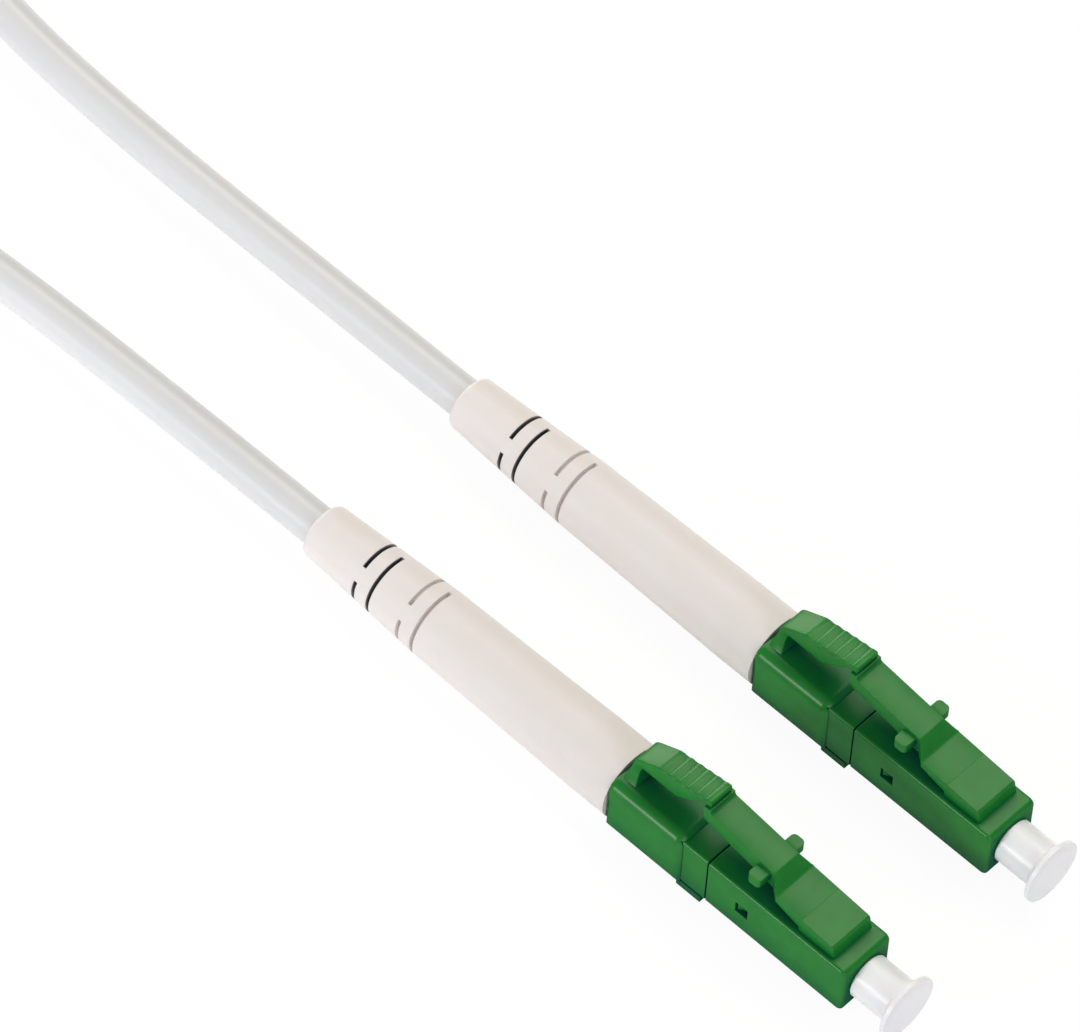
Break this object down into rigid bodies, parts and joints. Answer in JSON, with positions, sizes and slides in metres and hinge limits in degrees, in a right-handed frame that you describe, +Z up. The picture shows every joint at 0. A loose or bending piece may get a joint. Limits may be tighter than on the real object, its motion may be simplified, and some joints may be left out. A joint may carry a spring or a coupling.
{
  "type": "fibre optic patch cable",
  "caption": "Simplex fibre optic patch cable with small square latching plugs, capped angled ferrules, slotted strain-relief boots and a round cord put away in a tied hank.",
  "frame": {"origin": "on the surface that the cable lies on, midway along and between the two ends, boots and caps included", "axes": "+X forward along the ferrules, +Y to the left of the ends, +Z up through the latches"},
  "size_m": [0.1694, 0.0366, 0.0097],
  "materials": {
    "green_plastic": "satin moulded plastic",
    "boot_rubber": "matt, ivory",
    "cap_plastic": "soft, slightly translucent",
    "cord_jacket": "satin jacket",
    "ceramic": "polished zirconia",
    "steel": "nickel plated or stainless",
    "fibre_coating": "matt coating",
    "yarn": "fine parallel fibres",
    "tie_fabric": "soft hook and loop tape"
  },
  "bodies": {
    "cable": {"front_housing_a": "green_plastic", "rear_body_a": "green_plastic", "trigger_clip_a": "green_plastic", "ferrule_spring_a": "steel", "buffered_fibre_a": "fibre_coating", "strength_yarn_a": "yarn", "crimp_sleeve_a": "steel", "boot_a": "boot_rubber", "front_housing_b": "green_plastic", "rear_body_b": "green_plastic", "trigger_clip_b": "green_plastic", "ferrule_spring_b": "steel", "buffered_fibre_b": "fibre_coating", "strength_yarn_b": "yarn", "crimp_sleeve_b": "steel", "boot_b": "boot_rubber", "cord_a": "cord_jacket", "cord_b": "cord_jacket", "cord_hank": "cord_jacket", "hank_tie_a": "tie_fabric", "hank_tie_b": "tie_fabric"},
    "trigger_a": {"trigger_arm_a": "green_plastic"},
    "latch_a": {"latch_arm_a": "green_plastic"},
    "ferrule_group_a": {"ferrule_a": "ceramic", "ferrule_flange_a": "steel"},
    "cap_a": {"dust_cap_a": "cap_plastic"},
    "trigger_b": {"trigger_arm_b": "green_plastic"},
    "latch_b": {"latch_arm_b": "green_plastic"},
    "ferrule_group_b": {"ferrule_b": "ceramic", "ferrule_flange_b": "steel"},
    "cap_b": {"dust_cap_b": "cap_plastic"}
  },
  "joints": [
    {"name": "trigger_press_a", "type": "hinge", "parent": "cable", "child": "trigger_a", "pos_m": [0.00336, -0.00738, 0.00554], "axis": [0, 1, 0], "range_deg": [0, 12], "stiffness_Nm_per_rad": 0.03},
    {"name": "latch_press_a", "type": "hinge", "parent": "cable", "child": "latch_a", "pos_m": [0.0188, -0.00738, 0.00544], "axis": [0, -1, 0], "range_deg": [0, 10.9]},
    {"name": "ferrule_float_a", "type": "slide", "parent": "cable", "child": "ferrule_group_a", "axis": [-1, 0, 0], "range_m": [0, 0.0015], "stiffness_N_per_m": 500, "springref_m": -0.002, "deforming": ["ferrule_spring_a"]},
    {"name": "cap_pull_a", "type": "slide", "parent": "cable", "child": "cap_a", "axis": [1, 0, 0], "range_m": [0, 0.008]},
    {"name": "trigger_press_b", "type": "hinge", "parent": "cable", "child": "trigger_b", "pos_m": [0.00287, 0.00738, 0.00554], "axis": [0, 1, 0], "range_deg": [0, 12], "stiffness_Nm_per_rad": 0.03},
    {"name": "latch_press_b", "type": "hinge", "parent": "cable", "child": "latch_b", "pos_m": [0.01832, 0.00738, 0.00544], "axis": [0, -1, 0], "range_deg": [0, 10.9]},
    {"name": "ferrule_float_b", "type": "slide", "parent": "cable", "child": "ferrule_group_b", "axis": [-1, 0, 0], "range_m": [0, 0.0015], "stiffness_N_per_m": 500, "springref_m": -0.002, "deforming": ["ferrule_spring_b"]},
    {"name": "cap_pull_b", "type": "slide", "parent": "cable", "child": "cap_b", "axis": [1, 0, 0], "range_m": [0, 0.008]}
  ],
  "couplings": [
    {"joint": "latch_press_a", "follows": "trigger_press_a", "ratio": 0.9},
    {"joint": "latch_press_b", "follows": "trigger_press_b", "ratio": 0.9}
  ]
}
